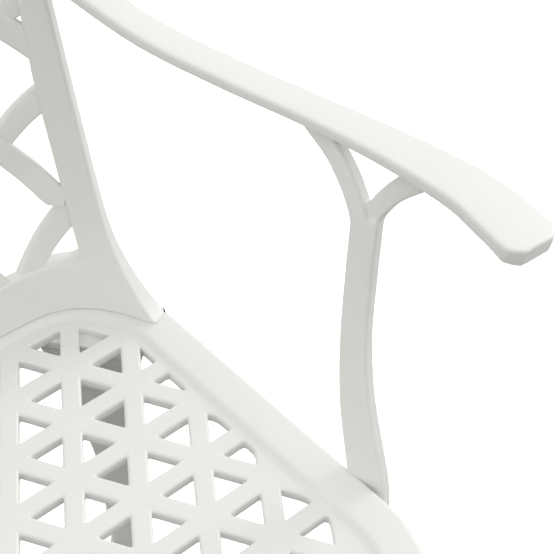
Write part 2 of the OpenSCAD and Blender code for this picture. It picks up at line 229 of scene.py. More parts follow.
def carried(path: Array, side: Array, section: Array) -> Shell:
    """Sections carried along a path, each square to the path's heading there.

    Args:
        path: Points of the path.
        side: Rough width direction at each point, made square to the heading.
        section: Points of each section as rings by points by two.

    Returns:
        The closed shell.
    """
    ahead = unit(np.gradient(path, axis=0))
    side = np.broadcast_to(side, path.shape)
    u = unit(side - ahead * (side * ahead).sum(-1, keepdims=True))
    v = np.cross(ahead, u)
    return loft(path[:, None] + u[:, None] * section[..., :1] + v[:, None] * section[..., 1:])


def slab(half: Sequence[float], low: float, high: float, corner: float, edge: float) -> Shell:
    """Plate with round corners and soft edges: rounded rectangles stacked from low to high.

    Args:
        half: Half sizes along x and y.
        low: Height of the underside.
        high: Height of the top.
        corner: Radius of the four upright corners.
        edge: Radius of the edges round the two flat faces.

    Returns:
        The closed shell.
    """
    t = np.radians(np.linspace(90.0, 0.0, 4))
    z = np.concatenate([low + edge * (1 - np.sin(t)), (high - edge * (1 - np.sin(t)))[::-1]])
    less = np.concatenate([edge * (1 - np.cos(t)), (edge * (1 - np.cos(t)))[::-1]])
    ring = soft_section(half[0] - less, half[1] - less, np.maximum(corner - less, 0.3), 4)
    tall = np.broadcast_to(z[:, None, None], ring.shape[:2] + (1,))
    return loft(np.concatenate([ring, tall], -1))


# ---- Blender objects -------------------------------------------------------------------------


def mesh_object(name: str, shell: Shell, weld: float = 0.0) -> bpy.types.Object:
    """Object made from a shell, smooth shaded.

    Args:
        name: Name of the piece.
        shell: Shape in millimetres.
        weld: Distance within which vertices are merged, in millimetres.

    Returns:
        The new object at the origin.
    """
    mesh = bpy.data.meshes.new(name)
    faces = shell.quads.tolist() + shell.tris.tolist()
    mesh.from_pydata((shell.verts * MM).tolist(), [], faces)
    if weld > 0.0:
        bm = bmesh.new()
        bm.from_mesh(mesh)
        bmesh.ops.remove_doubles(bm, verts=bm.verts, dist=weld * MM)
        bmesh.ops.recalc_face_normals(bm, faces=bm.faces)
        bm.to_mesh(mesh)
        bm.free()
    mesh.validate()
    mesh.polygons.foreach_set("use_smooth", np.ones(len(mesh.polygons), bool))
    mesh.update()
    obj = bpy.data.objects.new(name, mesh)
    bpy.context.scene.collection.objects.link(obj)
    return obj


def weighted(obj: bpy.types.Object) -> None:
    """Gives flat faces flat shading beside their rounded edges."""
    mod = obj.modifiers.new("soft edges", "WEIGHTED_NORMAL")
    mod.weight = 60
    mod.keep_sharp = False


def fused(obj: bpy.types.Object, voxel: float, rounds: int, factor: float = 0.5) -> None:
    """Melts overlapping shells into one cast surface with small fillets.

    The mesh is remeshed on a grid of small cells and then smoothed a few rounds.

    Args:
        obj: Object whose mesh is replaced.
        voxel: Cell size in millimetres.
        rounds: Rounds of smoothing.
        factor: Strength of each round.
    """
    remesh = obj.modifiers.new("fuse", "REMESH")
    remesh.mode = "VOXEL"
    remesh.voxel_size = voxel * MM
    remesh.use_smooth_shade = True
    smooth = obj.modifiers.new("fillet", "SMOOTH")
    smooth.factor = factor
    smooth.iterations = rounds
    graph = bpy.context.evaluated_depsgraph_get()
    mesh = bpy.data.meshes.new_from_object(obj.evaluated_get(graph))
    obj.modifiers.clear()
    old = obj.data
    obj.data = mesh
    mesh.name = obj.name
    bpy.data.meshes.remove(old)


# ---- Finishes --------------------------------------------------------------------------------


def linear(hex_colour: str) -> tuple[float, float, float, float]:
    """An sRGB hex colour as linear red, green, blue and alpha."""
    c = np.array([int(hex_colour.lstrip("#")[i : i + 2], 16) for i in (0, 2, 4)]) / 255.0
    c = np.where(c <= 0.04045, c / 12.92, ((c + 0.055) / 1.055) ** 2.4)
    return (float(c[0]), float(c[1]), float(c[2]), 1.0)


def node(tree: bpy.types.NodeTree, kind: str, links: dict[str, Any] | None = None, **settings: Any) -> Any:
    """Adds a node with its settings, values and incoming links.

    Args:
        tree: Node tree to add to.
        kind: Node type.
        links: Input name or number to a value or to another node's output socket.
        **settings: Properties set on the node itself.

    Returns:
        The new node.
    """
    made = tree.nodes.new(kind)
    for key, value in settings.items():
        setattr(made, key, value)
    for key, value in (links or {}).items():
        socket = made.inputs[key]
        if isinstance(value, bpy.types.NodeSocket):
            tree.links.new(value, socket)
        else:
            socket.default_value = value
    return made


@dataclass(frozen=True)
class Finish:
    """Surface of one real material: its colours, gloss and the relief that shows on it."""

    name: str
    base: str
    shade: str
    roughness: tuple[float, float]
    metallic: float
    ior: float
    grain_mm: float
    grain_depth_mm: float
    wave_mm: float
    wave_depth_mm: float
    edge: str
    edge_gloss: float

    def build(self) -> bpy.types.Material:
        """Makes the material.

        Colour: two close tones mixed by a broad cloud, then the lighter edge tone where the surface is
        strongly convex, a painted highlight along the edges. Roughness: a finer cloud between two limits.
        Relief: a fine grain on a broad wave, both in Object coordinates.

        Returns:
            The new material.
        """
        mat = bpy.data.materials.new(self.name)
        mat.use_nodes = True
        tree = mat.node_tree
        tree.nodes.clear()
        where = node(tree, "ShaderNodeTexCoord").outputs["Object"]
        cloud = node(tree, "ShaderNodeTexNoise", {"Vector": where, "Scale": 1000.0 / 90.0, "Detail": 4.0})
        tones = node(
            tree, "ShaderNodeMix",
            {"Factor": cloud.outputs["Fac"], "A": linear(self.base), "B": linear(self.shade)},
            data_type="RGBA",
        )
        # strongly convex places get the lighter edge tone: a painted highlight along the edges
        bend = node(tree, "ShaderNodeNewGeometry").outputs["Pointiness"]
        edge = node(
            tree, "ShaderNodeMapRange",
            {"Value": bend, "From Min": 0.515, "From Max": 0.58, "To Min": 0.0, "To Max": 0.55},
            interpolation_type="SMOOTHSTEP",
        )
        colour = node(
            tree, "ShaderNodeMix",
            {"Factor": edge.outputs["Result"], "A": tones.outputs["Result"], "B": linear(self.edge)},
            data_type="RGBA",
        )
        patch = node(tree, "ShaderNodeTexNoise", {"Vector": where, "Scale": 1000.0 / 14.0, "Detail": 5.0})
        gloss = node(
            tree, "ShaderNodeMapRange",
            {"Value": patch.outputs["Fac"], "From Min": 0.3, "From Max": 0.7,
             "To Min": self.roughness[0], "To Max": self.roughness[1]},
        )
        rough = node(
            tree, "ShaderNodeMath",
            {0: edge.outputs["Result"], 1: self.edge_gloss, 2: gloss.outputs["Result"]},
            operation="MULTIPLY_ADD",
        )
        wave = node(
            tree, "ShaderNodeTexNoise", {"Vector": where, "Scale": 1000.0 / self.wave_mm, "Detail": 2.0},
        )
        broad = node(
            tree, "ShaderNodeBump",
            {"Height": wave.outputs["Fac"], "Distance": self.wave_depth_mm * MM, "Strength": 1.0},
        )
        grain = node(
            tree, "ShaderNodeTexNoise", {"Vector": where, "Scale": 1000.0 / self.grain_mm, "Detail": 3.0},
        )
        fine = node(
            tree, "ShaderNodeBump",
            {"Height": grain.outputs["Fac"], "Distance": self.grain_depth_mm * MM, "Strength": 1.0,
             "Normal": broad.outputs["Normal"]},
        )
        shader = node(
            tree, "ShaderNodeBsdfPrincipled",
            {"Base Color": colour.outputs["Result"], "Roughness": rough.outputs["Value"],
             "Normal": fine.outputs["Normal"], "Metallic": self.metallic, "IOR": self.ior},
        )
        node(tree, "ShaderNodeOutputMaterial", {"Surface": shader.outputs["BSDF"]})
        return mat


# Powder coat on sand-cast aluminium: satin, with an orange peel of about 2.5 mm and a slow waviness
# from the casting. Its edges are painted a little lighter, a painted highlight, and are a little smoother.
POWDER_COAT = Finish(
    "white powder coat on cast aluminium", "#f4f4f2", "#efefec", (0.36, 0.5), 0.0, 1.5,
    2.6, 0.09, 26.0, 0.5, "#fbfbf7", -0.06,
)
# Stainless steel bolts and washers: cold headed, dull grey, with faint forming marks. The lighter
# edge tone is a painted highlight.
STAINLESS = Finish(
    "cold headed stainless steel", "#c4c5c6", "#a9abad", (0.24, 0.4), 1.0, 1.5,
    0.9, 0.03, 6.0, 0.05, "#dadbdc", -0.08,
)
# Moulded black nylon: dull with a fine spark-eroded grain. It dresses the glides, and the back bolt
# caps, which are black pieces put where the seat's rim has deep shade beneath it: painted shade.
# Its lighter edge tone is a painted highlight.
BLACK_NYLON_AND_PAINTED_SHADE = Finish(
    "moulded black nylon", "#1c1c1d", "#242425", (0.5, 0.66), 0.0, 1.53,
    0.8, 0.05, 9.0, 0.08, "#2f2f30", -0.1,
)


class Coat(Enum):
    """Finish of each kind of piece, with the name of the slot it belongs to."""

    CASTING = ("white_powder_coat", POWDER_COAT)
    METAL = ("stainless_steel", STAINLESS)
    PLASTIC = ("black_plastic", BLACK_NYLON_AND_PAINTED_SHADE)


@dataclass
class Painter:
    """Makes each material once and puts pieces and CAD nodes in it."""

    made: dict[str, bpy.types.Material] = field(default_factory=dict)

    def material(self, coat: Coat) -> bpy.types.Material:
        """The material of a coat, made on first use.

        Args:
            coat: Which coat is wanted.

        Returns:
            The Blender material of that coat.
        """
        slot, finish = coat.value
        if slot not in self.made:
            self.made[slot] = finish.build()
        return self.made[slot]

    def piece(self, obj: bpy.types.Object, coat: Coat, replaces: Sequence[str]) -> None:
        """Dresses a new piece, hangs it under the root body and hides the CAD nodes it stands for.

        Args:
            obj: The piece.
            coat: Its finish.
            replaces: Names of the CAD nodes it stands for.
        """
        obj.data.materials.clear()
        obj.data.materials.append(self.material(coat))
        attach(obj, "root")
        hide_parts(*replaces)
        LOG.info("%s: %d faces", obj.name, len(obj.data.polygons))

    def cad_node(self, name: str, coat: Coat) -> None:
        """Puts a CAD node that stays visible in its finish.

        Args:
            name: Name of the CAD node.
            coat: The coat it gets.
        """
        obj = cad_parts[name]
        for slot in obj.material_slots:
            slot.material = self.material(coat)
        if not obj.material_slots:
            obj.data.materials.append(self.material(coat))
        LOG.info("%s: CAD node, %s", name, coat.name.lower())


# ---- Where things are ------------------------------------------------------------------------


@dataclass(frozen=True)
class Datum:
    """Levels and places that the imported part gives, in millimetres."""

    rim_top: float
    seat_low: float
    seat_rear: float
    back_top: float

    @property
    def shift(self) -> float:
        """How far the bench's own drawing lies forward of the frame's origin."""
        return self.seat_rear - 197.0

    @property
    def lift(self) -> float:
        """How far the rim lies above the height that the routes below are drawn for."""
        return self.rim_top - 404.0

    @staticmethod
    def read() -> "Datum":
        """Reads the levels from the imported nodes."""
        low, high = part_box("seat")
        return Datum(high.z / MM, low.z / MM, high.y / MM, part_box("backrest")[1].z / MM)


# ---- Seat ------------------------------------------------------------------------------------


@dataclass
class Seat:
    """Cast seat: a soft-edged lattice of triangular holes inside a smooth raised rim."""

    datum: Datum
    pitch: float = 57.0
    bar: float = 16.2
    border: float = 38.0
    rim: float = 33.0
    drop: float = 4.0
    plate: float = 11.0
    skirt: float = 10.0
    dish: float = 4.0
    step: float = 4.2
    edge_parts: int = 10

    @property
    def field_top(self) -> float:
        """Height of the lattice at its border."""
        return self.datum.rim_top - self.drop

    def outline(self) -> tuple[Array, Array]:
        """Points and outward normals of the seat's plan, anticlockwise.

        The plan is a run of arcs that meet without a corner: rear corner, straight side, front
        corner in two radii and a bowed front, mirrored across the middle line.

        Returns:
            Points and normals, one row each.
        """
        flare = 5.5
        c0 = np.array([276.5, 91.5])
        polar = lambda c, r, a: c + r * np.array([np.cos(np.radians(a)), np.sin(np.radians(a))])
        a0 = polar(c0, 105.5, flare)
        b0 = a0 + 251.0 * np.array([np.sin(np.radians(flare)), -np.cos(np.radians(flare))])
        c1 = polar(b0, -131.0, flare)
        c2 = polar(polar(c1, 131.0, -30.0), -51.0, -30.0)
        d0 = polar(c2, 51.0, -87.0)
        bow = d0[0] / np.cos(np.radians(-87.0))
        c3 = polar(d0, -bow, -87.0)
        points, normals = [], []
        for c, r, start, stop in (
            (c3, bow, -90.0, -87.0), (c2, 51.0, -87.0, -30.0), (c1, 131.0, -30.0, flare),
            (None, 0.0, flare, flare), (c0, 105.5, flare, 90.0),
        ):
            if c is None:
                n = int(251.0 / self.step)
                t = (np.arange(n) / n)[:, None]
                points.append(mix(b0, a0, t))
                normals.append(np.broadcast_to(polar(np.zeros(2), 1.0, flare), (n, 2)))
                continue
            n = max(2, int(abs(np.radians(stop - start)) * r / self.step))
            a = np.radians(start + (stop - start) * np.arange(n) / n)[:, None]
            direction = np.concatenate([np.cos(a), np.sin(a)], 1)
            points.append(c + r * direction)
            normals.append(direction)
        rear = int(2 * 276.5 / self.step)
        x = np.linspace(276.5, -276.5, rear, endpoint=False)
        half_p, half_n = np.vstack(points), np.vstack(normals)
        back_p = np.stack([x, np.full(rear, 197.0)], 1)
        back_n = np.broadcast_to([0.0, 1.0], (rear, 2))
        flip = np.array([-1.0, 1.0])
        left_p = np.vstack([[[-276.5, 197.0]], half_p[:0:-1] * flip])
        left_n = np.vstack([[[0.0, 1.0]], half_n[:0:-1] * flip])
        return np.vstack([half_p, back_p, left_p]), unit(np.vstack([half_n, back_n, left_n]))

    def dip(self, xy: Array) -> Array:
        """How far the lattice sags below its border: a product of two smooth humps."""
        u = np.clip(1.0 - (xy[..., 0] / 366.0) ** 2, 0.0, 1.0)
        v = np.clip(1.0 - ((xy[..., 1] + 30.0) / 196.0) ** 2, 0.0, 1.0)
        return self.dish * (u * v) ** 1.2

    def fanned(self, xy: Array) -> Array:
        """Spreads the regular lattice a little towards the sides.

        A map of the plane that keeps lines straight, taken on one half, mirrored on the other and
        faded out towards the seat's middle.

        Args:
            xy: Points of the regular lattice.

        Returns:
            The points in their places on the seat.
        """
        q = np.stack([np.abs(xy[..., 0]), xy[..., 1], np.ones(xy.shape[:-1])], -1)
        across = (q @ np.array([1.07115, -0.031188, -10.2313])) / (q @ np.array([7.77e-5, 2.4e-6, 1.0]))
        along = (q @ np.array([0.032845, 0.975552, -3.3596])) / (q @ np.array([7.77e-5, 2.4e-6, 1.0]))
        share = ramp(q[..., 0], 60.0, 200.0)
        side = np.sign(xy[..., 0]) * mix(q[..., 0], across, share)
        return np.stack([side, mix(xy[..., 1], along, share)], -1)

    def line_hits(self, ring: Array, normals: Array) -> tuple[Array, Array]:
        """Adds the points where the lattice's bar lines cross the border ring.

        Args:
            ring: Border ring, anticlockwise.
            normals: Its outward normals.

        Returns:
            The ring and normals with the crossings added in order.
        """
        place = np.arange(len(ring), dtype=float)
        nxt = np.roll(ring, -1, 0)
        tris = self.triangles()
        for a, b in zip(tris.reshape(-1, 2), np.roll(tris, -1, 1).reshape(-1, 2)):
            ahead = (b - a) / ((b - a) @ (b - a))
            n = np.array([-ahead[1], ahead[0]])
            s, e = (ring - a) @ n, (nxt - a) @ n
            hit = np.nonzero(s * e < 0)[0]
            share = s[hit] / (s[hit] - e[hit])
            along = (mix(ring[hit], nxt[hit], share[:, None]) - a) @ ahead
            place = np.concatenate([place, (hit + share)[(along >= 0) & (along <= 1)]])
        place = np.unique(np.round(place, 6))
        whole, part = place.astype(int), (place % 1.0)[:, None]
        after = (whole + 1) % len(ring)
        close = (part[:, 0] > 0) | ~self.near_hit(place)
        points = mix(ring[whole], ring[after], part)
        return points[close], unit(mix(normals[whole], normals[after], part))[close]

    @staticmethod
    def near_hit(place: Array) -> Array:
        """Marks whole-numbered samples that lie very close to a crossing.

        Args:
            place: Places of the border's samples and of its crossings, counted in samples.

        Returns:
            True where a sample lies very close to a crossing.
        """
        fraction = place % 1.0
        crossing = place[fraction > 0]
        gap = np.min(np.abs(place[:, None] - crossing[None, :]), 1, initial=9.0, where=True)
        return (fraction == 0) & (gap < 0.25)

    def triangles(self) -> Array:
        """Corners of the lattice's triangles on the seat, anticlockwise, one triangle per row.

        Returns:
            Array of shape (n, 3, 2), in millimetres.
        """
        row = self.pitch * np.sqrt(3) / 2
        j, i = [v.ravel() for v in np.meshgrid(np.arange(-9, 2), np.arange(-9, 9), indexing="ij")]
        x, y = (i + np.where(j % 2 == 0, 1.0, 1.5)) * self.pitch, 160.0 + j * row
        left, right = np.stack([x - self.pitch / 2, y], -1), np.stack([x + self.pitch / 2, y], -1)
        rear, front = np.stack([x, y + row], -1), np.stack([x, y - row], -1)
        both = [np.stack([left, right, rear], 1), np.stack([right, left, front], 1)]
        return self.fanned(np.concatenate(both))

    def cells(self, ring: Array) -> tuple[list[tuple[Array, Array, bool, Array]], Array]:
        """Splits the field inside the border into the lattice's triangles.

        Args:
            ring: Border ring, anticlockwise and convex.

        Returns:
            For each cell its boundary points, the middle of its hole, whether it has one and the
            triangle's sides, and the half-planes of the border; both as rows of normal and distance.
        """
        step = np.roll(ring, -1, 0) - ring
        n = unit(np.stack([step[:, 1], -step[:, 0]], -1))
        planes = np.concatenate([n, (n * ring).sum(1)[:, None]], 1)
        found = []
        for tri in self.triangles():
            cell = self.cut_cell(tri, ring, planes)
            if cell is not None:
                edge = np.roll(tri, -1, 0) - tri
                out = unit(np.stack([edge[:, 1], -edge[:, 0]], -1))
                found.append((*cell, np.column_stack([out, (out * tri).sum(1)])))
        return found, planes

    def cut_cell(self, tri: Array, ring: Array, planes: Array) -> tuple[Array, Array, bool] | None:
        """One lattice triangle cut by the border.

        Args:
            tri: Its corners, anticlockwise.
            ring: Border ring.
            planes: The border's half-planes.

        Returns:
            The cell, or None where it lies outside the border.
        """
        rows = []
        t = 0.5 - 0.5 * np.cos(np.linspace(0.0, np.pi, self.edge_parts + 1))
        for k in range(3):
            a, b = tri[k], tri[(k + 1) % 3]
            gap_a, gap_b = planes[:, 2] - planes[:, :2] @ a, planes[:, 2] - planes[:, :2] @ b
            slope = gap_b - gap_a
            with np.errstate(divide="ignore", invalid="ignore"):
                at = np.where(np.abs(slope) > 1e-9, -gap_a / slope, np.nan)
            low = np.nanmax(np.where(slope > 1e-9, at, 0.0), initial=0.0)
            high = np.nanmin(np.where(slope < -1e-9, at, 1.0), initial=1.0)
            if low >= high - 1e-6 or np.any((np.abs(slope) <= 1e-9) & (gap_a < 0)):
                continue
            parts = t if high - low > 0.35 else np.linspace(0.0, 1.0, 5)
            rows.append(a + (b - a) * mix(low, high, parts)[:, None])
        edge = np.roll(tri, -1, 0) - tri
        inward = unit(np.stack([-edge[:, 1], edge[:, 0]], -1))
        depth = ((ring[:, None] - tri[None]) * inward[None]).sum(-1).min(1)
        rows.append(ring[depth > -1e-6])
        points = np.vstack(rows)
        if len(points) < 3:
            return None
        middle = points.mean(0)
        order = np.argsort(np.arctan2(*(points - middle).T[::-1]))
        points = points[order]
        far = np.linalg.norm(points - np.roll(points, 1, 0), axis=1) > 0.02
        points = points[far]
        if len(points) < 3:
            return None
        centre = tri.mean(0)
        open_cell = bool(np.min(planes[:, 2] - planes[:, :2] @ centre) > -3.0)
        if open_cell:
            open_share = 1.0 - self.bar * np.sqrt(3) / self.pitch
            hole = self.clipped(centre + (tri - centre) * open_share, planes, 2.0)
            if len(hole) < 3:
                return points, middle, False
            nxt = np.roll(hole, -1, 0)
            cross = hole[:, 0] * nxt[:, 1] - hole[:, 1] * nxt[:, 0]
            area = cross.sum() / 2
            if area < 60.0:
                return points, middle, False
            middle = ((hole + nxt) * cross[:, None]).sum(0) / (6 * area)
        return points, middle, open_cell

    @staticmethod
    def clipped(poly: Array, planes: Array, gap: float) -> Array:
        """Convex polygon cut back to stay a gap inside every half-plane.

        Args:
            poly: Corners of the polygon, in order.
            planes: Normal and offset of each half-plane.
            gap: Distance kept from each half-plane, in millimetres.

        Returns:
            Corners of what is left.
        """
        for nx, ny, d in planes:
            if len(poly) < 3:
                break
            dist = d - gap - poly @ np.array([nx, ny])
            if dist.min() >= 0:
                continue
            nxt, other = np.roll(poly, -1, 0), np.roll(dist, -1)
            keep = []
            for p, q, s, e in zip(poly, nxt, dist, other):
                if s >= 0:
                    keep.append(p)
                if s * e < 0:
                    keep.append(p + (q - p) * s / (s - e))
            poly = np.array(keep).reshape(-1, 2)
        return poly

    def cell_shell(self, points: Array, middle: Array, tri: Array, planes: Array) -> Shell:
        """Walls, rounded edges and flats of one lattice cell with its hole.

        Along each ray from the hole's middle the hole's edge lies where the soft minimum (the
        tenth-power mean) of the rays' lengths to the bar sides and to the border puts it. Rings at
        growing distance from that edge and at falling height make the rounded edges and the wall.

        Args:
            points: Boundary of the cell, anticlockwise.
            middle: Middle of the hole.
            tri: Sides of the uncut triangle, as rows of outward normal and distance.
            planes: The border's half-planes.

        Returns:
            The open shell between the boundary's top and bottom.
        """
        ray = unit(points - middle)
        rings = []
        base = self.plate
        top_round, low_round = 2.6, 1.6
        for off, fall in (
            (top_round, 0.0), (1.7, 0.14), (0.9, 0.6), (0.3, 1.35), (0.0, 2.5),
            (0.35, base - 1.5), (0.75, base - 0.5), (low_round, base),
        ):
            sides = tri[:, 2] - self.bar / 2 + off - tri[:, :2] @ middle
            border = planes[:, 2] - 2.0 + off - planes[:, :2] @ middle
            with np.errstate(divide="ignore"):
                a = np.maximum(ray @ tri[:, :2].T, 1e-6) / sides
                b = (np.maximum(ray @ planes[:, :2].T, 1e-6) / border).max(1, keepdims=True)
            inverse = (np.concatenate([a, b], 1) ** 10).sum(1) ** 0.1
            reach = np.minimum(1.0 / inverse, 0.995 * np.linalg.norm(points - middle, axis=1))
            xy = middle + ray * reach[:, None]
            z = self.field_top - self.dip(xy) - fall
            rings.append(np.concatenate([xy, z[:, None]], 1))
        top = self.field_top - self.dip(points)
        head = np.concatenate([points, top[:, None]], 1)
        tail = np.concatenate([points, top[:, None] - base], 1)
        grid = np.stack([head] + rings + [tail])
        n, q = grid.shape[:2]
        i, j = np.arange(n - 1)[:, None], np.arange(q)[None, :]
        k = (j + 1) % q
        quads = np.stack([i * q + j, i * q + k, (i + 1) * q + k, (i + 1) * q + j], -1).reshape(-1, 4)
        return Shell(grid.reshape(-1, 3), quads)

    def solid_cell(self, points: Array, middle: Array) -> Shell:
        """Top and bottom of a cell without a hole, each a fan round its middle.

        Args:
            points: Outline of the cell.
            middle: Point that both fans spread from.

        Returns:
            The shell of that cell.
        """
        q = len(points)
        xy = np.vstack([points, middle[None]])
        z = self.field_top - self.dip(xy)
        verts = np.vstack([np.column_stack([xy, z]), np.column_stack([xy, z - self.plate])])
        j = np.arange(q)
        k = (j + 1) % q
        top = np.stack([np.full(q, q), j, k], -1)
        low = np.stack([np.full(q, 2 * q + 1), q + 1 + k, q + 1 + j], -1)
        return Shell(verts, tris=np.vstack([top, low]))

    def rim_shell(self, ring: Array, normals: Array) -> Shell:
        """Rim, soft groove and skirt: a section carried round the border by its normals.

        Args:
            ring: Border ring.
            normals: Its outward normals.

        Returns:
            The open shell from the border's top, over the rim, to the border's bottom.
        """
        z0, low = self.field_top, self.datum.rim_top - self.drop - self.plate
        top, foot = self.datum.rim_top, self.datum.rim_top - self.drop - self.plate - self.skirt
        r = 5.5
        turn = np.radians(np.linspace(90.0, 0.0, 7))
        shoulder = [(r * (1 - np.cos(a)), top - r * (1 - np.sin(a))) for a in turn]
        section = np.array(
            [(self.border, z0), (37.0, z0 - 0.25), (35.8, z0 - 0.45), (34.6, z0 - 0.2), (33.4, z0 + 0.8),
             (32.2, z0 + 2.2), (31.0, z0 + 3.2), (29.4, z0 + 3.8), (27.0, top), (19.0, top + 0.25),
             (12.0, top + 0.2)]
            + shoulder
            + [(0.0, 388.0 + foot - 379.0), (0.3, foot + 2.2), (1.2, foot + 0.6), (2.6, foot), (3.8, foot),
               (5.2, foot + 0.6), (6.0, foot + 2.0), (6.4, low - 4.5), (7.6, low - 1.6), (10.5, low),
               (24.0, low), (self.border, low)]
        )
        grid = np.stack([
            np.column_stack([ring + (self.border - inset) * normals, np.full(len(ring), z)])
            for inset, z in section
        ])
        # both edges sag with the lattice, so that they meet its cells point by point
        grid[[0, -1], :, 2] -= self.dip(ring)
        n, q = grid.shape[:2]
        i, j = np.arange(n - 1)[:, None], np.arange(q)[None, :]
        k = (j + 1) % q
        quads = np.stack([i * q + k, i * q + j, (i + 1) * q + j, (i + 1) * q + k], -1).reshape(-1, 4)
        return Shell(grid.reshape(-1, 3), quads)

    def fittings(self) -> list[Shell]:
        """Landings for the legs and lugs for the armrests, on both sides.

        Returns:
            One shell per landing and lug.
        """
        low = self.datum.rim_top - self.drop - self.plate
        made = []
        for x, y, turn in ((344.0, -186.0, -131.0), (318.0, 134.0, -49.0)):
            made.append(slab((44.0, 11.0), low - 8.0, low + 2.0, 6.0, 1.5).spun(turn).moved((x, y, 0.0)))
        flare = np.radians(5.5)
        spot = np.array([276.5, 91.5]) + 106.0 * np.array([np.cos(flare), np.sin(flare)])
        spot = spot + 224.0 * np.array([np.sin(flare), -np.cos(flare)])
        lug = slab((3.75, 23.0), self.datum.seat_low, self.datum.rim_top - 14.0, 2.0, 1.5)
        made.append(lug.moved((-3.75, 0.0, 0.0)).spun(5.5).moved((spot[0], spot[1], 0.0)))
        return made + [s.mirrored() for s in made]

    def build(self) -> bpy.types.Object:
        """Builds the whole seat as one piece.

        Returns:
            The seat's object.
        """
        points, normals = self.outline()
        ring, normals = self.line_hits(points - self.border * normals, normals)
        cells, planes = self.cells(ring)
        shells = [self.rim_shell(ring, normals)]
        for edge, middle, has_hole, sides in cells:
            if has_hole:
                shells.append(self.cell_shell(edge, middle, sides, planes))
            else:
                shells.append(self.solid_cell(edge, middle))
        body = joined(shells).moved((0.0, self.datum.shift, 0.0))
        obj = mesh_object("seat_casting", body, 0.05)
        extra = joined(self.fittings()).moved((0.0, self.datum.shift, 0.0))
        self.append(obj, extra)
        weighted(obj)
        return obj

    @staticmethod
    def append(obj: bpy.types.Object, extra: Shell) -> None:
        """Adds closed shells to an object's mesh.

        Args:
            obj: The object that grows.
            extra: The shell to add, in millimetres.
        """
        bm = bmesh.new()
        bm.from_mesh(obj.data)
        verts = [bm.verts.new(v) for v in (extra.verts * MM).tolist()]
        for face in extra.quads.tolist() + extra.tris.tolist():
            bm.faces.new([verts[i] for i in face]).smooth = True
        bm.to_mesh(obj.data)
        bm.free()


# ---- Backrest --------------------------------------------------------------------------------


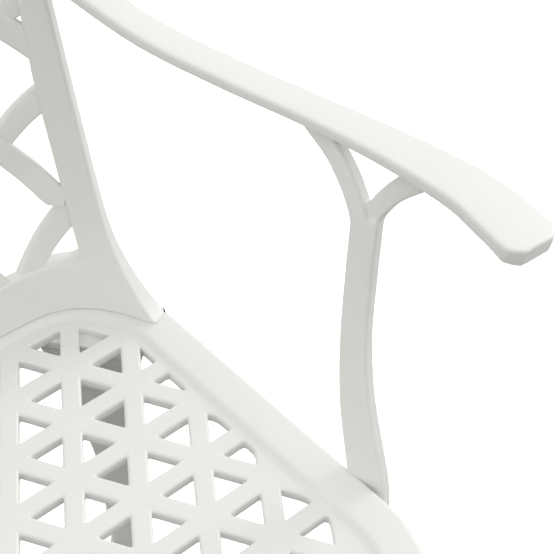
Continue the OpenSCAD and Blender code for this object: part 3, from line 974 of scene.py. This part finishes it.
@dataclass
class Backrest:
    """Cast backrest: a smooth frame that turns forward at its sides, with bowed, crossed slats."""

    datum: Datum
    lean: float = 0.18
    rail_in: float = 333.0
    band: float = 46.0
    thick: float = 14.0
    slat_w: float = 19.0
    slat_t: float = 8.0
    slat_r: float = 700.0

    @property
    def band_top(self) -> float:
        """Height of the bottom band's upper edge."""
        return self.datum.rim_top + self.band

    @property
    def low(self) -> float:
        """Height of the face's own zero, which is the lattice's level."""
        return self.datum.rim_top - 4.0

    def face(self, x: Array, z: Array) -> Array:
        """Front face of the backrest: flat and leaning in the middle, cubic forward turn at the sides."""
        wrap = mix(40.0, 68.0, np.exp(-np.maximum(z - self.low, 0.0) / 46.0))
        q = np.maximum(np.abs(x) - 268.0, 0.0) / 94.0
        return np.stack([x, 167.4 + self.lean * (z - self.low) - wrap * q**3, z], -1)

    def mapped(self, x: Array, z: Array, w: Array) -> Array:
        """Points at depth w behind the front face, along the face's normal there.

        Args:
            x: Place across the bench.
            z: Height.
            w: Depth behind the front face.

        Returns:
            Array of points, in millimetres.
        """
        x, z, w = np.broadcast_arrays(np.asarray(x, float), np.asarray(z, float), np.asarray(w, float))
        dx = self.face(x + 0.5, z) - self.face(x - 0.5, z)
        dz = self.face(x, z + 0.5) - self.face(x, z - 0.5)
        return self.face(x, z) + w[..., None] * unit(np.cross(dz, dx))

    def crest_line(self, x: Array) -> Array:
        """Top of the crest: a shallow parabola that falls towards the rails."""
        return self.datum.back_top - 24.0 * (np.abs(x) / 353.0) ** 2

    def rail_edge(self, z: Array) -> Array:
        """Outer edge of a rail: straight above, flared towards the foot."""
        foot = np.clip(1.0 - (z - self.datum.rim_top) / 95.0, 0.0, 1.0)
        return 353.0 + 10.0 * foot**2

    def loops(self) -> tuple[Array, Array]:
        """Paired points of the frame's outer and inner edges, anticlockwise seen from the front.

        Returns:
            Outer and inner edges in face coordinates, x and height.
        """
        t = lambda n: np.linspace(0.0, 1.0, n, endpoint=False)
        rim, band, r_in, r_out = self.datum.rim_top, self.band_top, 10.0, 3.0
        s = t(46)
        ends = self.rail_edge(np.array([rim]))[0] - r_out
        inner = [np.stack([s * (self.rail_in - r_in), np.full(46, band)], -1)]
        outer = [np.stack([s * ends, np.full(46, rim)], -1)]
        a = np.radians(-90.0 + 90.0 * t(8))
        inner.append(np.stack([self.rail_in - r_in + r_in * np.cos(a), band + r_in + r_in * np.sin(a)], -1))
        outer.append(np.stack([ends + r_out * np.cos(a), rim + r_out + r_out * np.sin(a)], -1))
        low = lambda x: self.crest_line(x) - 36.0
        top_in, turn_in, turn_out = float(low(np.array(self.rail_in))), 16.0, 24.0
        s = t(60)
        z_in = mix(band + r_in, top_in - turn_in, s)
        top_out = float(self.crest_line(np.array(353.0)))
        z_out = mix(rim + r_out, top_out - turn_out, s)
        inner.append(np.stack([self.rail_in + 3.0 * ramp(z_in - self.datum.lift, 610.0, 690.0), z_in], -1))
        outer.append(np.stack([self.rail_edge(z_out), z_out], -1))
        a = np.radians(90.0 * t(10))
        inner.append(np.stack([
            self.rail_in + 3.0 - turn_in + turn_in * np.cos(a), top_in - turn_in + turn_in * np.sin(a)], -1))
        outer.append(np.stack([
            353.0 - turn_out + turn_out * np.cos(a), top_out - turn_out + turn_out * np.sin(a)], -1))
        s = 1.0 - t(46)
        x_in, x_out = s * (self.rail_in + 3.0 - turn_in), s * (353.0 - turn_out)
        ease = ramp(x_in, 240.0, self.rail_in - turn_in)
        inner.append(np.stack([
            x_in, low(x_in) + ease * (top_in - low(np.array(self.rail_in - turn_in)))], -1))
        ease = ramp(x_out, 240.0, 353.0 - turn_out)
        outer.append(np.stack([
            x_out,
            self.crest_line(x_out) + ease * (top_out - self.crest_line(np.array(353.0 - turn_out)))], -1))
        right_in, right_out = np.vstack(inner), np.vstack(outer)
        flip = np.array([-1.0, 1.0])
        mid = np.array(0.0)
        top = np.array([[0.0, float(low(mid))]]), np.array([[0.0, float(self.crest_line(mid))]])
        inner_all = np.vstack([right_in, top[0], right_in[:0:-1] * flip])
        outer_all = np.vstack([right_out, top[1], right_out[:0:-1] * flip])
        return outer_all, inner_all

    def frame_shell(self) -> Shell:
        """The outer frame as one ring: a soft-cornered section between the paired edges.

        Returns:
            The shell of the outer frame.
        """
        outer, inner = self.loops()
        width = np.linalg.norm(inner - outer, axis=1)
        depth = self.thick + 6.5 * np.clip(1.0 - (outer[:, 1] - self.datum.rim_top) / 80.0, 0.0, 1.0) ** 2
        depth = np.where(np.abs(outer[:, 0]) > 340.0, depth, self.thick)
        section = soft_section(width / 2, depth / 2, 3.2, 5)
        share = (section[..., 0] / width[:, None] + 0.5)[..., None]
        flat = mix(outer[:, None], inner[:, None], share)
        crown = 0.7 * (1.0 - (section[..., 0] / (width[:, None] / 2)) ** 2) * (section[..., 1] < 0)
        rings = self.mapped(flat[..., 0], flat[..., 1], section[..., 1] + depth[:, None] / 2 - crown)
        rings[..., 2] = np.maximum(rings[..., 2], self.datum.rim_top + 0.25)
        return loft(rings[:, ::-1], looped=True)

    def slat(self, number: int, front: float, raised_end: bool = False) -> Shell:
        """One slat that rises to the right: an arc in the face, carried with a soft section.

        Args:
            number: Place in the family; the arc's centre steps sideways and down with it.
            front: Depth of the slat's front face.
            raised_end: Whether its lower end is round and lies over the rail.

        Returns:
            The closed shell.
        """
        c = np.array([215.0, self.low - 180.0]) + number * np.array([81.9, -21.4])
        r = self.slat_r
        x_at = lambda z: c[0] - np.sqrt(r * r - (z - c[1]) ** 2)
        reach = self.rail_in + 8.0
        x_low = max(-reach, x_at(self.band_top - 8.0))
        guess = x_at(self.datum.back_top - 50.0)
        x_high = min(reach, x_at(float(self.crest_line(np.array(guess))) - 28.0))
        if raised_end:
            x_low = -self.rail_in + 2.0
        a = np.arccos((np.array([x_low, x_high]) - c[0]) / r)
        turn = np.linspace(a[0], a[1], 56)
        half = np.full(56, self.slat_w / 2)
        lift = np.zeros(56)
        if raised_end:
            along = (a[0] - turn) * r
            half = half * np.sqrt(np.clip(1.0 - np.clip(1.0 - along / 9.0, 0.0, 0.985) ** 2, 0.0, 1.0))
            lift = 3.0 * ramp(-along, -40.0, -14.0)
        section = soft_section(half, np.full(56, self.slat_t / 2), 2.6, 4, 0.5)
        radius = r - section[..., 0]
        x = c[0] + radius * np.cos(turn)[:, None]
        z = c[1] + radius * np.sin(turn)[:, None]
        w = section[..., 1] + front + self.slat_t / 2 - lift[:, None]
        return loft(self.mapped(x, z, w)[:, ::-1])

    def build(self) -> bpy.types.Object:
        """Builds the frame and both families of slats as one piece.

        Returns:
            The backrest's object.
        """
        shells = [self.frame_shell()]
        for number in range(9):
            shells.append(self.slat(number, 5.0))
            shells.append(self.slat(number, 2.0, number == 1).mirrored())
        obj = mesh_object("backrest_casting", joined(shells).moved((0.0, self.datum.shift, 0.0)))
        bm = bmesh.new()
        bm.from_mesh(obj.data)
        bmesh.ops.recalc_face_normals(bm, faces=bm.faces)
        bm.to_mesh(obj.data)
        bm.free()
        weighted(obj)
        return obj


# ---- Armrests --------------------------------------------------------------------------------


class Side(Enum):
    """Half of the bench, as the sign of x."""

    LEFT = -1
    RIGHT = 1


@dataclass
class Armrest:
    """Cast armrest: a swept bar that widens to a blunt tip, on an upright that forks in two."""

    datum: Datum
    side: Side
    thick: float = 15.0
    stem: float = 12.5

    def bar(self) -> Shell:
        """The armrest's bar: a soft flat section carried along its bent middle line.

        Returns:
            The shell of the bar.
        """
        path = spline(
            [(366, 193, 711), (396, 129, 681), (426, 66, 667), (456, 0, 659), (478, -60, 655),
             (491, -117, 654), (494, -152, 651), (495, -183, 646)], 12,
        )
        t = np.linspace(0.0, 1.0, len(path))
        width = mix(29.5, 46.0, ramp(t, 0.35, 0.9)) * (1.0 - 0.36 * ramp(t, 0.94, 1.0) ** 2)
        deep = mix(9.0, 11.0, ramp(t, 0.45, 0.85)) + (self.thick - 11.0) * ramp(t, 0.88, 1.0)
        path, a, b = rounded_ends(path, width / 2, deep / 2, 1.6, 4)
        section = soft_section(a, b, np.full(len(a), 2.4), 6, 0.9)
        ahead = unit(np.gradient(path, axis=0))
        return carried(path, np.cross(ahead, [0.12, 0.04, 1.0]), section)

    def limb(self, route: Sequence[Sequence[float]], width: Callable[[Array], Array], deep: float) -> Shell:
        """One limb of the upright, carried along its route in the upright's own plane.

        Args:
            route: Points of the limb's middle line.
            width: Width for the share of the way along.
            deep: Thickness across the plane.

        Returns:
            The closed shell.
        """
        path = spline(route, 8)
        t = np.linspace(0.0, 1.0, len(path))
        path, a, b = rounded_ends(path, width(t) / 2, np.full(len(t), deep / 2), 2.0)
        section = soft_section(a, b, np.full(len(a), 1.7), 4, 0.2)
        ahead = unit(np.gradient(path, axis=0))
        plane = unit(np.array([-0.885, -0.328, 0.33]))
        return carried(path, np.cross(plane, ahead), section)

    def foot(self) -> Shell:
        """Foot that bears on the seat's side, with its pad square to that side.

        Returns:
            The shell of the foot.
        """
        flare = np.radians(5.5)
        spot = np.array([276.5, 91.5]) + 106.0 * np.array([np.cos(flare), np.sin(flare)])
        spot = spot + 224.0 * np.array([np.sin(flare), -np.cos(flare)])
        pad = slab((4.5, 20.0), 365.0, 388.0, 3.0, 1.8)
        return pad.moved((4.6, 0.0, 0.0)).spun(5.5).moved((spot[0], spot[1], 0.0))

    def build(self) -> bpy.types.Object:
        """Builds the armrest and melts its limbs together.

        Returns:
            The armrest's object.
        """
        stem = self.limb(
            [(411, -122, 366), (410, -121, 402), (418, -97, 462), (430, -79, 510), (443, -67, 556),
             (452, -60, 590), (456, -57, 604)],
            lambda t: mix(33.0, 22.0, ramp(t, 0.0, 0.55)), self.stem,
        )
        rear = self.limb(
            [(444, -71, 556), (450, -62, 585), (454, -48, 612), (456, -24, 636), (455, 6, 652)],
            lambda t: mix(15.0, 14.0, t), self.stem,
        )
        front = self.limb(
            [(444, -66, 556), (452, -59, 585), (461, -60, 607), (472, -70, 629), (483, -87, 648)],
            lambda t: mix(14.0, 17.0, ramp(t, 0.4, 1.0)), self.stem,
        )
        parts = [self.bar(), stem, rear, front, self.foot(), self.pad()]
        shell = joined(parts).moved((0.0, self.datum.shift, self.datum.lift))
        if self.side is Side.LEFT:
            shell = shell.mirrored()
        obj = mesh_object(f"armrest_{self.side.name.lower()}_casting", shell)
        fused(obj, 1.2, 3)
        return obj

    @staticmethod
    def pad() -> Shell:
        """Rear pad that bears on the backrest's rail."""
        block = slab((6.5, 11.5), 703.0, 725.0, 4.0, 2.0)
        return block.moved((6.6, 0.0, 0.0)).spun(-39.4).moved((358.2, 199.0, 0.0))


# ---- Legs ------------------------------------------------------------------------------------


@dataclass
class Leg:
    """Cast leg: wide and flat under the seat, slim at the ankle, swept outwards to its foot."""

    datum: Datum
    name: str
    place: tuple[float, float, float]
    route: tuple[tuple[float, float, float], ...]
    side: Side

    def build(self) -> bpy.types.Object:
        """Builds the leg with its flange and melts them together.

        Returns:
            The leg's object.
        """
        landing = self.datum.rim_top - 23.0
        path = spline(self.route, 10)
        z = path[:, 2]
        a = mix(34.0, 80.0, ramp(z, 180.0, landing)) / 2 + 4.0 * ramp(-z, -45.0, 0.0)
        b = mix(20.0, 15.0, ramp(z, 150.0, landing)) / 2 + 3.0 * ramp(-z, -45.0, 0.0)
        section = soft_section(a, b, np.full(len(a), 5.0), 5, 0.8)
        limb = carried(path, np.array([1.0, 0.0, 0.0]), section)
        limb.verts[:, 2] = np.clip(limb.verts[:, 2], 5.0, landing - 0.2)
        flange = slab((44.0, 11.0), landing - 8.0, landing - 0.1, 5.0, 1.5)
        x, y, turn = self.place
        shell = joined([limb, flange]).spun(turn).moved((x, y + self.datum.shift, 0.0))
        if self.side is Side.LEFT:
            shell = shell.mirrored()
        obj = mesh_object(f"{self.name}_casting", shell)
        fused(obj, 1.8, 5)
        return obj


def legs(datum: Datum) -> list[Leg]:
    """The four legs, front and rear, right and left.

    Args:
        datum: Heights and offsets read from the frame.

    Returns:
        The four legs, in build order.
    """
    top = datum.rim_top - 26.0
    front = ((0, 0, top), (0, 5, 345), (0, 12, 280), (0, 18, 195), (0, 25, 112), (0, 33, 50),
             (0, 40, 10), (0, 43, -12))
    rear = ((0, 0, top), (-2.6, 6.2, 345), (-7.1, 20.8, 280), (-9, 30.7, 195), (-12.6, 38.9, 112),
            (-16.6, 50.3, 50), (-19.7, 59.8, 10), (-21.4, 63.5, -12))
    spots = {"front": ((344.0, -186.0, -131.0), front), "rear": ((318.0, 134.0, -49.0), rear)}
    return [
        Leg(datum, f"leg_{end}_{side.name.lower()}", spots[end][0], spots[end][1], side)
        for end in spots for side in Side
    ]


# ---- Room, light and camera ------------------------------------------------------------------


@dataclass(frozen=True)
class Studio:
    """Pale floor, soft light and the camera."""

    lens: float = 102.15
    low_light: float = 0.03
    high_light: float = 0.93
    key_watts: float = 125.0
    eye: tuple[float, float, float] = (-45.45, -656.36, 1391.13)
    right: tuple[float, float, float] = (0.80418619, -0.59399386, -0.02135111)
    up: tuple[float, float, float] = (0.4494746, 0.58423706, 0.67575117)
    ahead: tuple[float, float, float] = (0.38891793, 0.55302654, -0.73682053)

    def camera(self, datum: Datum) -> None:
        """Sets the camera from its three axes and its place.

        Args:
            datum: Offsets that carry the eye into the frame.
        """
        data = bpy.data.cameras.new("camera")
        data.lens, data.sensor_width = self.lens, 36.0
        data.clip_end = 50.0
        cam = bpy.data.objects.new("camera", data)
        bpy.context.scene.collection.objects.link(cam)
        rows = Matrix((self.right, self.up, tuple(-v for v in self.ahead))).transposed().to_4x4()
        eye = (Vector(self.eye) + Vector((0.0, datum.shift, datum.lift))) * MM
        cam.matrix_world = Matrix.Translation(eye) @ rows
        bpy.context.scene.camera = cam

    @staticmethod
    def floor() -> None:
        """A wide pale floor that glows a little, as an overlit studio floor does."""
        n = 9
        x, y = np.meshgrid(np.linspace(-40000, 40000, n), np.linspace(-40000, 40000, n))
        verts = np.column_stack([x.ravel(), y.ravel(), np.zeros(n * n)])
        i, j = np.meshgrid(np.arange(n - 1), np.arange(n - 1))
        base = (j * n + i).ravel()
        quads = np.stack([base, base + 1, base + n + 1, base + n], -1)
        obj = mesh_object("studio_floor", Shell(verts, quads))
        mat = bpy.data.materials.new("matt white floor paint")
        mat.use_nodes = True
        tree = mat.node_tree
        tree.nodes.clear()
        where = node(tree, "ShaderNodeTexCoord").outputs["Object"]
        cloud = node(tree, "ShaderNodeTexNoise", {"Vector": where, "Scale": 1.5, "Detail": 3.0})
        tones = node(
            tree, "ShaderNodeMix",
            {"Factor": cloud.outputs["Fac"], "A": linear("#f7f7f6"), "B": linear("#fbfbfa")},
            data_type="RGBA",
        )
        shader = node(
            tree, "ShaderNodeBsdfPrincipled",
            {"Base Color": tones.outputs["Result"], "Roughness": 0.9, "Emission Strength": 0.75,
             "Emission Color": (1.0, 1.0, 1.0, 1.0)},
        )
        node(tree, "ShaderNodeOutputMaterial", {"Surface": shader.outputs["BSDF"]})
        obj.data.materials.append(mat)
        obj.visible_diffuse = False

    @staticmethod
    def lamp(name: str, place: Sequence[float], aim: Sequence[float], size: float, watts: float) -> None:
        """One square softbox.

        Args:
            name: Name of the lamp.
            place: Where it hangs, in metres.
            aim: The point it faces.
            size: Side of the square.
            watts: Its power.
        """
        data = bpy.data.lights.new(name, "AREA")
        data.shape, data.size, data.energy = "SQUARE", size, watts
        obj = bpy.data.objects.new(name, data)
        obj.location = place
        obj.rotation_euler = (Vector(aim) - Vector(place)).to_track_quat("-Z", "Y").to_euler()
        bpy.context.scene.collection.objects.link(obj)

    def light(self) -> None:
        """Soft key from the upper right, broad top light from a white sky and a dim warm glow from below."""
        world = bpy.data.worlds.new("white room")
        bpy.context.scene.world = world
        world.use_nodes = True
        tree = world.node_tree
        way = node(tree, "ShaderNodeTexCoord").outputs["Generated"]
        height = node(tree, "ShaderNodeSeparateXYZ", {"Vector": way}).outputs["Z"]
        level = node(
            tree, "ShaderNodeMapRange",
            {"Value": height, "From Min": -0.1, "From Max": 0.26, "To Min": self.low_light,
             "To Max": self.high_light},
            interpolation_type="SMOOTHSTEP",
        )
        tint = node(
            tree, "ShaderNodeMix",
            {"Factor": level.outputs["Result"], "A": linear("#f6f0da"), "B": linear("#ffffff")},
            data_type="RGBA",
        )
        sky = tree.nodes["Background"]
        tree.links.new(tint.outputs["Result"], sky.inputs["Color"])
        tree.links.new(level.outputs["Result"], sky.inputs["Strength"])
        self.lamp("key softbox", (6.6, 0.6, 2.5), (0.3, 0.0, 0.5), 2.6, self.key_watts)
        bpy.context.scene.view_settings.view_transform = "Standard"
        bpy.context.scene.view_settings.look = "None"
        bpy.context.scene.view_settings.exposure = 0.0


# ---- Everything together ---------------------------------------------------------------------


def main() -> None:
    """Builds the bench, dresses it, lights it and sets the camera."""
    logging.basicConfig(level=logging.INFO, format="%(name)s: %(message)s")
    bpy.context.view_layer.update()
    datum = Datum.read()
    painter = Painter()
    studio = Studio()
    studio.camera(datum)
    painter.piece(Seat(datum).build(), Coat.CASTING, ["seat"])
    painter.piece(Backrest(datum).build(), Coat.CASTING, ["backrest"])
    for side in Side:
        arm = Armrest(datum, side)
        painter.piece(arm.build(), Coat.CASTING, [f"arm_{side.name.lower()}"])
    for leg in legs(datum):
        painter.piece(leg.build(), Coat.CASTING, [leg.name])
    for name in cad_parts:
        # the glides are black nylon; the back bolt caps are black pieces set in the deep shade under the
        # seat's rim by the backrest's feet: painted shade
        if name.startswith("glide") or name == "back_bolt_caps":
            painter.cad_node(name, Coat.PLASTIC)
        elif "bolt" in name or "washer" in name or "nut" in name:
            painter.cad_node(name, Coat.METAL)
    studio.floor()
    studio.light()


if __name__ == "__main__":
    main()
